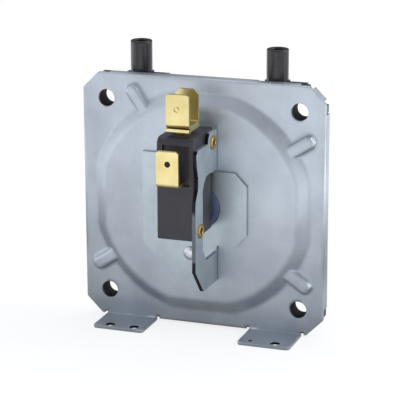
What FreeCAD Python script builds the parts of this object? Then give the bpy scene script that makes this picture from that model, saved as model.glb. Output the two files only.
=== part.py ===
import FreeCAD, Part
import math
import os
import Sketcher

# Air pressure switch. Millimetres, Z up, front of the object toward -Y.
# Origin: middle of the four mounting holes, on the front face of the cover's rim.

# Every size of the object, written once. They go into the sheet under the same names.
VALUES = {
    "plate_half": 35.2, "corner_cut": 4.8, "metal": 0.8, "hole_pitch": 56.0,
    "cover_hole_r": 2.4, "shoulder_r": 32.4, "panel_r": 28.9, "panel_rise": 3.0,
    "flat_half": 31.2, "panel_round": 2.0, "press_round": 0.8,
    "rib_reach": 38.3, "rib_start": 27.0, "rib_root": 30.2, "rib_width": 3.6, "rib_rise": 1.8,
    "rib_round": 0.9,
    "rib_angle_a": 33.0, "rib_angle_b": 123.0, "rib_angle_c": 213.0, "rib_angle_d": 325.0,
    "flange_depth": 3.8, "flange_low": 27.6, "flange_high": 27.4,
    "top_flange_half": 27.4, "top_flange_depth": 3.0, "hem_left": 11.8, "hem_right": 15.2,
    "fold_round": 0.5, "hem_width": 2.6, "tab_half": 1.6, "tab_hem": 0.3,
    "foot_inner": 13.9, "foot_outer": 28.8, "foot_reach": 11.3, "foot_top": 35.14,
    "foot_round": 1.2, "foot_hole_y": 9.1, "foot_hole_inner": 17.1, "foot_hole_outer": 24.3,
    "foot_hole_r": 1.35, "pilot_hole_r": 0.6, "relief_width": 0.9, "relief_depth": 0.8,
    "frame_half": 35.0, "frame_cut": 5.1, "frame_depth": 1.7, "frame_open_r": 27.5, "recess_r": 30.4,
    "rubber": 0.4, "boss_r": 3.9, "boss_end": 5.8, "screw_hole_r": 2.4,
    "nipple_left": 20.0, "nipple_right": 19.6, "nipple_y": 6.6, "nipple_r": 3.05,
    "nipple_top": 43.6, "nipple_bore_r": 1.9, "collar_r": 3.5, "collar_height": 0.8,
    "block_low": 30.2, "block_top": 34.0, "block_back": 10.1, "block_a": 25.2,
    "block_b": 12.9, "block_c": 15.6, "block_d": 27.3, "lug_gap": 0.4, "lug_outer": 29.9,
    "lug_back": 3.7, "lug_root": 2.5,
    "back_metal": 0.5, "dome_r": 27.0, "dome_top_r": 24.0, "dome_depth": 5.0,
    "duct_width": 4.4, "duct_depth": 6.0, "duct_low": 14.0,
    "pleat_outer": 27.1, "pleat_inner": 21.9, "centre_y": 3.3, "pleat_y": 1.2,
    "plate_r": 21.5, "plate_metal": 0.8, "stud_r": 2.35, "pin_r": 1.5, "pin_head_r": 4.0,
    "pin_tip": 4.65, "running_gap": 0.05, "bush_r": 6.35, "bush_barrel_r": 4.5,
    "bush_flange": 1.0, "bush_back": 1.2, "seal_r": 2.9, "seal_depth": 0.75,
    "spring_r": 8.8, "wire_r": 0.45, "spring_turns": 3.0,
    "sheet_metal": 1.0, "blade_x": 4.68, "base_top": 22.7, "base_low": 20.6,
    "base_left": 16.0, "tongue_x": 14.3, "tongue_z": 10.5,
    "bracket_hole_r": 6.6, "rivet_x": 2.1, "rivet_z": 13.5, "rivet_r": 1.5, "rivet_head_r": 2.05,
    "case_left": 5.6, "case_split": 3.88, "case_front": 20.1, "case_back": 5.9,
    "case_back_top": 4.9, "case_low": 4.8, "case_top": 23.2, "case_wall": 1.2,
    "case_round": 2.2, "step_z": 12.0, "post_r": 1.95, "eyelet_hole_r": 1.35,
    "eyelet_bore_r": 0.85, "eyelet_head_r": 1.95, "eyelet_head": 0.45,
    "eyelet_ay": 6.9, "eyelet_az": 19.5, "eyelet_by": 17.25, "eyelet_bz": 2.55,
    "panel_z_low": 10.2, "panel_z_high": 21.2, "panel_x": 3.6, "panel_sink": 0.9,
    "button_x": 1.8, "button_z": 1.0, "button_tip": 4.7, "button_end": 8.4,
    "brass": 0.8, "tab_left": 4.15, "tab_width": 6.3, "tab_hole_x": 0.9, "tab_z": 10.6, "tab_top": 20.7,
    "tab_y": 24.5, "tab_hole_z": 17.1, "tab_hole_r": 0.825, "strip_x": 1.8, "strip_y": 11.2,
    "contact_z": 4.5, "contact_r": 1.3, "contact_shank_r": 0.6, "contact_high": 0.8,
    "contact_gap": 0.68, "lever_y": 8.45, "lever": 0.3, "lever_low": 1.4, "lever_top": 15.6,
    "stem_y": 14.2, "fork_left": 3.6, "fork_width": 6.5, "fork_front": 18.2,
    "fork_back": 10.1, "shelf_z": 24.4, "fork_front_top": 34.55, "fork_back_top": 34.7,
    "dimple_z": 30.6, "fork_rivet_y": 15.8,
}


class Size:
    """A number together with the sheet formula it comes from."""

    def __init__(self, number, text):
        self.number = float(number)
        self.text = text

    def join(self, other, sign, result):
        return Size(result, "(%s %s %s)" % (self.text, sign, other.text))

    def __add__(self, other):
        other = as_size(other)
        return self.join(other, "+", self.number + other.number)

    def __sub__(self, other):
        other = as_size(other)
        return self.join(other, "-", self.number - other.number)

    def __mul__(self, other):
        other = as_size(other)
        return self.join(other, "*", self.number * other.number)

    def __truediv__(self, other):
        other = as_size(other)
        return self.join(other, "/", self.number / other.number)

    def __radd__(self, other):
        return as_size(other) + self

    def __rsub__(self, other):
        return as_size(other) - self

    def __neg__(self):
        return Size(-self.number, "(0 - %s)" % self.text)

    def root(self):
        return Size(math.sqrt(self.number), "sqrt(%s)" % self.text)


def as_size(thing):
    """Plain numbers become sizes too."""
    if isinstance(thing, Size):
        return thing
    return Size(thing, repr(float(thing)))


class Names:
    """Gives every value as a Size under its own name."""

    def __getattr__(self, name):
        return Size(VALUES[name], "Sizes." + name)


V = Names()
doc = FreeCAD.newDocument("air_pressure_switch")


def make_sheet():
    sheet = doc.addObject("Spreadsheet::Sheet", "Sizes")
    for row, (name, number) in enumerate(VALUES.items(), start=1):
        sheet.set("A%d" % row, name)
        sheet.set("B%d" % row, str(number))
        sheet.setAlias("B%d" % row, name)
    doc.recompute()


# Small building steps

def new_body(label, several=False):
    body = doc.addObject("PartDesign::Body", label)
    body.Label = label
    body.AllowCompound = several
    return body


def bind(thing, path, size):
    thing.setExpression(path, as_size(size).text)


def sketch_on(body, role, name, level=0.0, shift_x=0.0, shift_y=0.0, turn=0.0):
    """A sketch on an origin plane, moved along its normal by level."""
    sketch = body.newObject("Sketcher::SketchObject", name)
    plane = [item for item in body.Origin.OriginFeatures if item.Role == role][0]
    sketch.AttachmentSupport = [(plane, "")]
    sketch.MapMode = "FlatFace"
    sketch.AttachmentOffset = FreeCAD.Placement(
        FreeCAD.Vector(0, 0, 0), FreeCAD.Rotation(FreeCAD.Vector(0, 0, 1), as_size(turn).number))
    bind(sketch, "AttachmentOffset.Base.x", shift_x)
    bind(sketch, "AttachmentOffset.Base.y", shift_y)
    bind(sketch, "AttachmentOffset.Base.z", level)
    bind(sketch, "AttachmentOffset.Rotation.Angle", turn)
    return sketch


def front_sketch(body, name, y, shift_x=0.0, shift_z=0.0, turn=0.0):
    """Local axes are X and Z. The normal points to the front."""
    return sketch_on(body, "XZ_Plane", name, -as_size(y), shift_x, shift_z, turn)


def side_sketch(body, name, x):
    """Local axes are Y and Z. The normal points to the right."""
    return sketch_on(body, "YZ_Plane", name, x)


def level_sketch(body, name, z, shift_x=0.0):
    """Local axes are X and Y. The normal points up."""
    return sketch_on(body, "XY_Plane", name, z, shift_x)


def place_point(sketch, geometry, end, x, y):
    for kind, size in (("DistanceX", as_size(x)), ("DistanceY", as_size(y))):
        index = sketch.addConstraint(
            Sketcher.Constraint(kind, -1, 1, geometry, end, size.number))
        sketch.setExpression("Constraints[%d]" % index, size.text)


def outline(sketch, points):
    """A closed outline of straight lines, each corner bound to the sheet."""
    corners = [FreeCAD.Vector(as_size(x).number, as_size(y).number, 0) for x, y in points]
    count = len(corners)
    lines = []
    for number in range(count):
        line = Part.LineSegment(corners[number], corners[(number + 1) % count])
        lines.append(sketch.addGeometry(line, False))
    for number in range(count):
        after = lines[(number + 1) % count]
        sketch.addConstraint(Sketcher.Constraint("Coincident", lines[number], 2, after, 1))
    for number, (x, y) in enumerate(points):
        place_point(sketch, lines[number], 1, x, y)


def box_outline(sketch, x_low, x_high, y_low, y_high):
    outline(sketch, [(x_low, y_low), (x_high, y_low), (x_high, y_high), (x_low, y_high)])


def circle(sketch, x, y, radius):
    radius = as_size(radius)
    centre = FreeCAD.Vector(as_size(x).number, as_size(y).number, 0)
    geometry = sketch.addGeometry(
        Part.Circle(centre, FreeCAD.Vector(0, 0, 1), radius.number), False)
    place_point(sketch, geometry, 3, x, y)
    index = sketch.addConstraint(Sketcher.Constraint("Radius", geometry, radius.number))
    sketch.setExpression("Constraints[%d]" % index, radius.text)


def flat_sided(sketch, radius, flat):
    """A circle whose four sides are cut flat: arcs in the corners, straight lines between."""
    radius, flat = as_size(radius), as_size(flat)
    half = (radius * radius - flat * flat).root()
    ends = [(flat, half), (half, flat), (-half, flat), (-flat, half),
            (-flat, -half), (-half, -flat), (half, -flat), (flat, -half)]
    whole = Part.Circle(FreeCAD.Vector(0, 0, 0), FreeCAD.Vector(0, 0, 1), radius.number)
    pieces = []
    for number, (x, y) in enumerate(ends):
        next_x, next_y = ends[(number + 1) % 8]
        start = FreeCAD.Vector(x.number, y.number, 0)
        end = FreeCAD.Vector(next_x.number, next_y.number, 0)
        if number % 2:
            pieces.append(sketch.addGeometry(Part.LineSegment(start, end), False))
        else:
            first, last = whole.parameter(start), whole.parameter(end)
            pieces.append(sketch.addGeometry(Part.ArcOfCircle(whole, first, last), False))
    for number, piece in enumerate(pieces):
        after = pieces[(number + 1) % 8]
        sketch.addConstraint(Sketcher.Constraint("Coincident", piece, 2, after, 1))
    for number, piece in enumerate(pieces):
        place_point(sketch, piece, 1, *ends[number])
        if number % 2 == 0:
            index = sketch.addConstraint(Sketcher.Constraint("Radius", piece, radius.number))
            sketch.setExpression("Constraints[%d]" % index, radius.text)


def lofted(body, lower, upper, cut=False):
    """A straight-sided solid between two outlines."""
    kind = "PartDesign::SubtractiveLoft" if cut else "PartDesign::AdditiveLoft"
    feature = body.newObject(kind, lower.Name + "_loft")
    feature.Profile = lower
    feature.Sections = [upper]
    feature.Ruled = True
    upper.Visibility = False
    finish(feature)
    return feature


def pad(body, sketch, length, backward=False):
    feature = body.newObject("PartDesign::Pad", sketch.Name + "_pad")
    feature.Profile = sketch
    feature.Reversed = backward
    bind(feature, "Length", length)
    finish(feature)
    return feature


def pocket(body, sketch, length, forward=False):
    feature = body.newObject("PartDesign::Pocket", sketch.Name + "_pocket")
    feature.Profile = sketch
    feature.Reversed = forward
    bind(feature, "Length", length)
    finish(feature)
    return feature


def turned(body, sketch, axis="V_Axis", cut=False):
    kind = "PartDesign::Groove" if cut else "PartDesign::Revolution"
    feature = body.newObject(kind, sketch.Name + "_turned")
    feature.Profile = sketch
    feature.ReferenceAxis = (sketch, [axis])
    feature.Angle = 360.0
    finish(feature)
    return feature


def rounded(body, base, edges, radius, kind="Fillet"):
    feature = body.newObject("PartDesign::" + kind, base.Name + "_" + kind.lower())
    feature.Base = (base, edges)
    bind(feature, "Radius" if kind == "Fillet" else "Size", radius)
    finish(feature)
    return feature


def finish(feature):
    sketch = getattr(feature, "Profile", None)
    if sketch:
        sketch[0].Visibility = False
    doc.recompute()


def edges_where(feature, test):
    """Names of the edges whose middle point passes the test."""
    names = []
    for number, edge in enumerate(feature.Shape.Edges, start=1):
        middle = edge.valueAt((edge.FirstParameter + edge.LastParameter) / 2.0)
        if test(edge, middle):
            names.append("Edge%d" % number)
    return names


def is_straight(edge):
    ends = [vertex.Point for vertex in edge.Vertexes]
    return len(ends) == 2 and abs(edge.Length - ends[0].distanceToPoint(ends[1])) < 1e-6


def along(edge, axis):
    """True for a straight edge parallel to an axis."""
    if not is_straight(edge):
        return False
    return abs(abs(edge.tangentAt(edge.FirstParameter).dot(FreeCAD.Vector(*axis))) - 1) < 1e-6


def near(value, wanted):
    return abs(value - as_size(wanted).number) < 0.02


def octagon(half, cut):
    rest = half - cut
    return [(half, -rest), (half, rest), (rest, half), (-rest, half),
            (-half, rest), (-half, -rest), (-rest, -half), (rest, -half)]


def four_circles(sketch, radius):
    place = V.hole_pitch / 2
    for x, z in ((place, place), (-place, place), (-place, -place), (place, -place)):
        circle(sketch, x, z, radius)


def box_pad(body, name, x_low, x_high, z_low, z_high, y_front, y_back):
    """A block given by its six sides."""
    sketch = front_sketch(body, name, y_front)
    box_outline(sketch, x_low, x_high, z_low, z_high)
    return pad(body, sketch, as_size(y_back) - as_size(y_front), backward=True)


def box_pocket(body, name, x_low, x_high, z_low, z_high, y_front, y_back):
    sketch = front_sketch(body, name, y_front)
    box_outline(sketch, x_low, x_high, z_low, z_high)
    return pocket(body, sketch, as_size(y_back) - as_size(y_front))


def ring_body(label, points):
    """A body turned about the Y axis from (radius, y) points."""
    body = new_body(label)
    sketch = level_sketch(body, label + "_profile", 0.0)
    outline(sketch, points)
    feature = turned(body, sketch)
    return body, feature


# Front cover: one pressed sheet with a raised round panel, ribs, flanges and feet

def cover_plate(body):
    sketch = front_sketch(body, "cover_rim", 0.0)
    outline(sketch, octagon(V.plate_half, V.corner_cut))
    four_circles(sketch, V.cover_hole_r)
    pad(body, sketch, V.metal, backward=True)


def cover_panel(body):
    low = front_sketch(body, "panel_low", 0.0)
    flat_sided(low, V.shoulder_r, V.flat_half)
    high = front_sketch(body, "panel_high", -V.panel_rise)
    flat_sided(high, V.panel_r, V.flat_half - V.shoulder_r + V.panel_r)
    panel = lofted(body, low, high)

    def upper_edge(edge, middle):
        return near(middle.y, -V.panel_rise)

    return rounded(body, panel, edges_where(panel, upper_edge), V.panel_round)


def cover_rib(body, name, angle):
    """A short radial rib, hollow behind like the rest of the sheet."""
    half = V.rib_width / 2
    sketch = front_sketch(body, name, -V.rib_rise, turn=angle)
    box_outline(sketch, V.rib_start, V.rib_reach, -half, half)
    rib = pad(body, sketch, V.rib_rise + V.metal / 2, backward=True)
    turn = math.radians(as_size(angle).number)
    outward = FreeCAD.Vector(math.cos(turn), 0, math.sin(turn))

    def at_tip(edge, middle):
        return along(edge, (0, 1, 0)) and near(middle.dot(outward), V.rib_reach)

    rib = rounded(body, rib, edges_where(rib, at_tip), half * 0.92)

    def on_top(edge, middle):
        level = near(middle.y, -V.rib_rise)
        return level and middle.dot(outward) > V.rib_root.number

    return rounded(body, rib, edges_where(rib, on_top), V.rib_round)


def cover_foot_rounding(body, feature):
    """The press leaves a soft hollow where panel and ribs rise from the rim and meet."""
    root = V.rib_root.number
    rim = V.plate_half.number - 1.5

    def rising(edge, middle):
        radius = math.hypot(middle.x, middle.z)
        if near(middle.y, 0.0):
            inside = max(abs(middle.x), abs(middle.z)) < rim
            return inside and radius < V.rib_reach.number + 0.5 and not at_hole(middle)
        between = -V.rib_rise.number - 0.01 < middle.y < -0.05
        return between and not is_straight(edge) and radius < root + 3.5 and edge.Length < 5

    def at_hole(middle):
        place = V.hole_pitch.number / 2
        return math.hypot(abs(middle.x) - place, abs(middle.z) - place) < V.cover_hole_r.number + 0.5

    return rounded(body, feature, edges_where(feature, rising), V.press_round)


def cover_rib_hollow(body, name, angle):
    inner = V.rib_width / 2 - V.metal
    sketch = front_sketch(body, name, V.metal - V.rib_rise, turn=angle)
    box_outline(sketch, V.rib_start, V.rib_reach - V.metal * 1.6, -inner, inner)
    pocket(body, sketch, V.rib_rise + 0.1)


def cover_flanges(body):
    edge = V.plate_half
    wall = edge - V.metal
    deep = V.flange_depth
    left, right = V.hem_left, V.hem_right
    wide = V.top_flange_half
    hem = edge - V.hem_width
    hem_front = deep - V.metal
    box_pad(body, "flange_right", wall, edge, -V.flange_low, V.flange_high, 0.0, deep)
    box_pad(body, "flange_left", -edge, -wall, -V.flange_low, V.flange_high, 0.0, deep)
    box_pad(body, "flange_top", -wide, wide, wall, edge, 0.0, V.top_flange_depth)
    box_pad(body, "flange_top_middle", -left, right, wall, edge, 0.0, deep)
    box_pad(body, "flange_bottom", -left, left, -edge, -wall, 0.0, deep)
    box_pad(body, "hem_right", hem, edge, -V.flange_low, V.flange_high, hem_front, deep)
    box_pad(body, "hem_left", -edge, -hem, -V.flange_low, V.flange_high, hem_front, deep)
    box_pad(body, "hem_top", -left, right, hem, edge, hem_front, deep)
    folded = box_pad(body, "hem_bottom", -left, left, -edge, -hem, hem_front, deep)

    def fold(edge, middle):
        at_side = along(edge, (0, 0, 1)) and near(abs(middle.x), V.plate_half)
        at_top = along(edge, (1, 0, 0)) and near(middle.z, V.plate_half)
        return near(middle.y, 0.0) and (at_side or at_top)

    rounded(body, folded, edges_where(folded, fold), V.fold_round)


def corner_tab_points(sign_x, sign_z, thick, shrink=0.0):
    """A strip along the middle of a cut corner, thick toward the middle of the plate."""
    middle = V.plate_half - V.corner_cut / 2
    reach = V.tab_half + shrink
    inward = as_size(thick) * 0.7071
    points = [(middle - reach, middle + reach), (middle + reach, middle - reach),
              (middle + reach - inward, middle - reach - inward),
              (middle - reach - inward, middle + reach - inward)]
    return [(x * sign_x, z * sign_z) for x, z in points]


def cover_corner_tabs(body):
    for name, sign_x, sign_z in (("a", 1, 1), ("b", -1, 1), ("c", -1, -1), ("d", 1, -1)):
        wall = front_sketch(body, "corner_tab_" + name, 0.0)
        outline(wall, corner_tab_points(sign_x, sign_z, V.metal))
        pad(body, wall, V.flange_depth, backward=True)
        hem = front_sketch(body, "corner_hem_" + name, V.flange_depth - V.metal)
        outline(hem, corner_tab_points(sign_x, sign_z, V.metal + V.tab_hem))
        pad(body, hem, V.metal, backward=True)


def cover_foot(body, name, low, high, holes):
    """A foot bent forward from the lower edge."""
    under = V.foot_top + V.metal
    box_pad(body, name + "_web", low, high, -under, -V.plate_half + 1.0, 0.0, V.metal)
    for side, start, end in (("in", low - V.relief_width, low), ("out", high, high + V.relief_width)):
        box_pocket(body, name + "_relief_" + side, start, end, -V.plate_half - 0.5,
                   -V.plate_half + V.relief_depth, -0.5, V.metal)
    foot = box_pad(body, name + "_plate", low, high, -under, -V.foot_top, -V.foot_reach, V.metal)
    middle_x = (as_size(low).number + as_size(high).number) / 2

    def front_corner(edge, middle):
        return (along(edge, (0, 0, 1)) and near(middle.y, -V.foot_reach)
                and abs(middle.x - middle_x) < 10)

    foot = rounded(body, foot, edges_where(foot, front_corner), V.foot_round)

    def bend(edge, middle):
        if not along(edge, (1, 0, 0)) or abs(middle.x - middle_x) > 3:
            return False
        return near(middle.y, V.metal) and near(middle.z, -under)

    foot = rounded(body, foot, edges_where(foot, bend), V.metal * 0.9)
    drill = level_sketch(body, name + "_holes", -V.foot_top + 1.0)
    for x, radius in holes:
        circle(drill, x, -V.foot_hole_y, radius)
    pocket(body, drill, V.metal + 2.0)


def cover_openings(body):
    """Holes in the raised panel for the bush and the bracket rivets."""
    sketch = front_sketch(body, "panel_holes", -V.panel_rise - 0.5)
    circle(sketch, 0.0, 0.0, V.bush_barrel_r + V.running_gap)
    for z in (V.rivet_z, -V.rivet_z):
        circle(sketch, -V.rivet_x, z, V.rivet_r + V.running_gap)
    return pocket(body, sketch, V.panel_rise + V.metal + 1.0)


def panel_hollow(body):
    """The space behind the raised panel keeps the sheet one thickness all over."""
    slope = (V.shoulder_r - V.panel_r) / V.panel_rise
    inward = V.metal * (slope * slope + 1).root() - slope * V.metal
    flat_top = V.flat_half - V.shoulder_r + V.panel_r
    low = front_sketch(body, "hollow_low", V.metal)
    flat_sided(low, V.shoulder_r - inward, V.flat_half - inward)
    high = front_sketch(body, "hollow_high", V.metal - V.panel_rise)
    flat_sided(high, V.panel_r - inward, flat_top - inward)
    return lofted(body, low, high, cut=True)


def front_cover():
    body = new_body("front_cover")
    cover_plate(body)
    cover_flanges(body)
    cover_corner_tabs(body)
    inner, outer = V.foot_hole_inner, V.foot_hole_outer
    cover_foot(body, "foot_right", V.foot_inner, V.foot_outer,
               [(inner, V.pilot_hole_r), (outer, V.foot_hole_r)])
    cover_foot(body, "foot_left", -V.foot_outer, -V.foot_inner,
               [(-inner, V.foot_hole_r), (-outer, V.foot_hole_r)])
    cover_panel(body)
    angles = (V.rib_angle_a, V.rib_angle_b, V.rib_angle_c, V.rib_angle_d)
    for number, angle in enumerate(angles):
        feature = cover_rib(body, "rib_%d" % number, angle)
    cover_foot_rounding(body, feature)
    for number, angle in enumerate(angles):
        cover_rib_hollow(body, "rib_hollow_%d" % number, angle)
    panel_hollow(body)
    cover_openings(body)
    return body


# Body frame: black moulding with the hose nipples and the walls of the mounting holes

def frame_channels(body):
    """Room for the folded edges of the cover."""
    gap = V.running_gap
    wall = V.plate_half - V.metal - gap
    out = V.plate_half + 1.0
    back = V.metal + V.frame_depth
    low, high = -V.flange_low - 0.3, V.flange_high + 0.3
    wide = V.top_flange_half + 0.3
    left = V.hem_left + 0.3
    box_pocket(body, "channel_right", wall, out, low, high, V.metal, back)
    box_pocket(body, "channel_left", -out, -wall, low, high, V.metal, back)
    box_pocket(body, "channel_top", -wide, wide, wall, out, V.metal, back)
    box_pocket(body, "channel_bottom", -left, left, -out, -wall, V.metal, back)
    for name, sign_x, sign_z in (("a", 1, 1), ("b", -1, 1), ("c", -1, -1), ("d", 1, -1)):
        sketch = front_sketch(body, "channel_corner_" + name, V.metal)
        outline(sketch, corner_tab_points(sign_x, sign_z, V.metal + gap, 0.2))
        pocket(body, sketch, V.frame_depth)


def nipple(body, name, x, bore_end):
    """A hose nipple on top of its block, with a bore down to bore_end."""
    stem = level_sketch(body, name + "_stem", V.block_top)
    circle(stem, x, V.nipple_y, V.nipple_r)
    pad(body, stem, V.nipple_top - V.block_top)
    collar = level_sketch(body, name + "_collar", V.block_top)
    circle(collar, x, V.nipple_y, V.collar_r)
    feature = pad(body, collar, V.collar_height)
    bore = level_sketch(body, name + "_bore", V.nipple_top)
    circle(bore, x, V.nipple_y, V.nipple_bore_r)
    feature = pocket(body, bore, V.nipple_top - bore_end)

    def rim(edge, middle):
        return near(middle.z, V.nipple_top) and abs(middle.x - as_size(x).number) < 5

    rounded(body, feature, edges_where(feature, rim), 0.45)


def corner_lugs(body):
    """Blocks that fill the corners between the folded edges of the cover."""
    outer = V.lug_outer
    edge = V.frame_half
    root = edge - V.lug_root
    front, back = V.metal, V.lug_back
    top = V.top_flange_half + V.lug_gap
    high = V.flange_high + V.lug_gap
    low = V.flange_low + V.lug_gap
    box_pad(body, "lug_top_right", top, outer, root, edge, front, back)
    box_pad(body, "lug_top_left", -outer, -top, root, edge, front, back)
    box_pad(body, "lug_right_high", root, edge, high, outer, front, back)
    box_pad(body, "lug_right_low", root, edge, -outer, -low, front, back)
    box_pad(body, "lug_left_high", -edge, -root, high, outer, front, back)
    box_pad(body, "lug_left_low", -edge, -root, -outer, -low, front, back)


def body_frame():
    body = new_body("body_frame")
    front = V.metal
    back = front + V.frame_depth
    plate = front_sketch(body, "frame_plate", front)
    outline(plate, octagon(V.frame_half, V.frame_cut))
    circle(plate, 0.0, 0.0, V.frame_open_r)
    pad(body, plate, V.frame_depth, backward=True)
    low, high = V.block_low, V.block_top
    box_pad(body, "block_left", -V.block_a, -V.block_b, low, high, front, V.block_back)
    box_pad(body, "block_right", V.block_c, V.block_d, low, high, front, V.block_back)
    corner_lugs(body)
    bosses = front_sketch(body, "bosses", front)
    four_circles(bosses, V.boss_r)
    pad(body, bosses, V.boss_end - front, backward=True)
    frame_channels(body)
    recess = front_sketch(body, "diaphragm_recess", back - V.rubber)
    circle(recess, 0.0, 0.0, V.recess_r)
    pocket(body, recess, V.rubber)
    nipple(body, "nipple_l", -V.nipple_left, V.block_low + 1.4)
    nipple(body, "nipple_r", V.nipple_right, V.block_low - 0.1)
    box_pocket(body, "front_groove", -V.nipple_left - 1.5, -V.nipple_left + 1.5, 22.5,
               V.block_low + 2.8, front, front + 0.7)
    box_pocket(body, "front_passage", -V.nipple_left - 1.0, -V.nipple_left + 1.0,
               V.block_low + 1.5, V.block_low + 2.8, front, V.nipple_y)
    holes = front_sketch(body, "screw_holes", 0.0)
    four_circles(holes, V.screw_hole_r)
    pocket(body, holes, V.boss_end + 1.0)
    return body


# Back cover: thin sheet with a domed middle and a duct up to the right nipple

def back_cover():
    body = new_body("back_cover")
    front = V.metal + V.frame_depth
    back = front + V.back_metal
    wall = V.plate_half - V.metal - V.running_gap
    plate = front_sketch(body, "back_plate", front)
    lug_corner = V.top_flange_half + V.lug_gap + V.frame_half - V.lug_root
    outline(plate, octagon(wall, wall * 2 - lug_corner + 0.15))
    pad(body, plate, V.back_metal, backward=True)
    notches = front_sketch(body, "boss_notches", front - 0.5)
    four_circles(notches, V.boss_r + 0.1)
    pocket(body, notches, V.back_metal + 1.0)
    dome = level_sketch(body, "dome", 0.0)
    top = back + V.dome_depth
    outline(dome, [(0.0, front + 0.1), (V.dome_r, front + 0.1), (V.dome_r, back),
                   (V.dome_top_r, top), (0.0, top)])
    feature = turned(body, dome)

    def dome_rim(edge, middle):
        return near(middle.y, top)

    rounded(body, feature, edges_where(feature, dome_rim), 1.4)
    half = V.duct_width / 2
    box_pad(body, "duct", V.nipple_right - half, V.nipple_right + half, V.duct_low,
            V.block_low - 0.05, front, back + V.duct_depth)
    inner = level_sketch(body, "dome_inside", 0.0)
    under = top - V.back_metal
    outline(inner, [(0.0, front - 0.5), (V.dome_r - 0.55, front - 0.5), (V.dome_r - 0.55, back - 0.2),
                    (V.dome_top_r - 0.55, under), (0.0, under)])
    turned(body, inner, cut=True)
    box_pocket(body, "duct_inside", V.nipple_right - half + V.back_metal,
               V.nipple_right + half - V.back_metal, V.duct_low + V.back_metal,
               V.block_low + 0.5, front - 0.5, back + V.duct_depth - V.back_metal)
    gap = 0.1
    box_pocket(body, "gap_left", -V.plate_half, -V.block_b + gap, V.block_low - gap / 2,
               V.plate_half, front - 0.5, back + 0.5)
    box_pocket(body, "gap_right", V.block_c - gap, V.plate_half, V.block_low - gap / 2,
               V.plate_half, front - 0.5, back + 0.5)
    return body


# Diaphragm group: rubber disc, its two plates and the push pin

def diaphragm():
    front = V.metal + V.frame_depth - V.rubber
    bore = V.stud_r + V.running_gap
    centre = V.centre_y
    face = [(bore, centre), (V.pleat_inner, centre), (V.pleat_inner + 1.1, V.pleat_y + 0.5),
            (V.pleat_inner + 2.6, V.pleat_y), (V.pleat_inner + 4.1, V.pleat_y + 0.5),
            (V.pleat_outer, front), (V.recess_r - 0.2, front)]
    back = [(V.recess_r - 0.2, front + V.rubber), (V.pleat_outer - 0.1, front + V.rubber),
            (V.pleat_inner + 3.8, V.pleat_y + 0.85), (V.pleat_inner + 2.6, V.pleat_y + 0.4),
            (V.pleat_inner + 1.4, V.pleat_y + 0.85), (V.pleat_inner + 0.35, centre + V.rubber),
            (bore, centre + V.rubber)]
    body, feature = ring_body("diaphragm", face + back)
    return body


def front_plate():
    bore = V.stud_r + V.running_gap
    back = V.centre_y
    front = back - V.plate_metal
    lip = V.spring_r - V.wire_r - 0.15
    body, feature = ring_body("front_plate", [
        (bore, front), (lip - 0.8, front), (lip - 0.8, front - 0.6), (lip, front - 0.6),
        (lip, front), (V.plate_r, front), (V.plate_r, back), (bore, back)])
    return body


def rear_plate():
    bore = V.stud_r + V.running_gap
    front = V.centre_y + V.rubber
    back = front + V.plate_metal
    body, feature = ring_body("rear_plate", [
        (bore, front), (V.plate_r, front), (V.plate_r, back), (bore, back)])
    return body


def push_pin():
    front = V.centre_y - V.plate_metal
    back = V.centre_y + V.rubber + V.plate_metal
    body, feature = ring_body("push_pin", [
        (0.0, -V.pin_tip), (V.pin_r - 0.4, -V.pin_tip), (V.pin_r, -V.pin_tip + 0.4),
        (V.pin_r, front - 0.8), (V.pin_head_r, front - 0.8), (V.pin_head_r, front),
        (V.stud_r, front), (V.stud_r, back), (V.pin_head_r, back),
        (V.pin_head_r - 0.5, back + 0.9), (0.0, back + 0.9)])
    return body


# Bush, its ring, the seal around the pin, and the range spring

def guide_bush():
    bore = V.pin_r + V.running_gap * 2
    seat = -V.panel_rise
    face = seat - V.bush_flange
    body, feature = ring_body("guide_bush", [
        (bore, face + 0.3), (V.bush_r - 1.4, face + 0.3), (V.bush_r - 1.4, face),
        (V.bush_r - 0.3, face), (V.bush_r, face + 0.3), (V.bush_r, seat),
        (V.bush_barrel_r, seat), (V.bush_barrel_r, -V.bush_back), (V.seal_r, -V.bush_back),
        (V.seal_r, -V.bush_back - V.seal_depth), (bore, -V.bush_back - V.seal_depth)])
    return body


def bush_ring():
    inner = V.bush_barrel_r + V.running_gap
    seat = V.metal - V.panel_rise
    body, feature = ring_body("bush_ring", [
        (inner, seat), (V.bush_r, seat), (V.bush_r, seat + V.metal), (inner, seat + V.metal)])
    return body


def pin_seal():
    inner = V.pin_r + V.running_gap
    outer = V.seal_r - V.running_gap
    front = -V.bush_back - V.seal_depth
    body, feature = ring_body("pin_seal", [
        (inner, front), (outer, front), (outer, -V.bush_back - 0.05), (inner + 0.3, -V.bush_back - 0.05),
        (inner, -V.bush_back - 0.3)])
    return body


def range_spring():
    """A coil of round wire between the panel and the front plate."""
    radius = V.spring_r.number
    wire = V.wire_r.number
    low = V.metal.number - V.panel_rise.number + wire
    high = V.centre_y.number - V.plate_metal.number - wire
    turns = V.spring_turns.number
    helix = Part.makeHelix((high - low) / turns, high - low, radius)
    start = FreeCAD.Vector(radius, 0, 0)
    section = Part.Wire(Part.makeCircle(wire, start, FreeCAD.Vector(0, 1, 0)))
    shape = Part.Wire(helix).makePipeShell([section], True, True)
    spring = doc.addObject("Part::Feature", "range_spring")
    spring.Label = "range_spring"
    spring.Shape = shape
    spring.Placement = FreeCAD.Placement(
        FreeCAD.Vector(0, low, 0), FreeCAD.Rotation(FreeCAD.Vector(1, 0, 0), -90))
    return spring


# Bracket: one sheet, base on the panel, blade bent forward, tongue left flat

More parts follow.
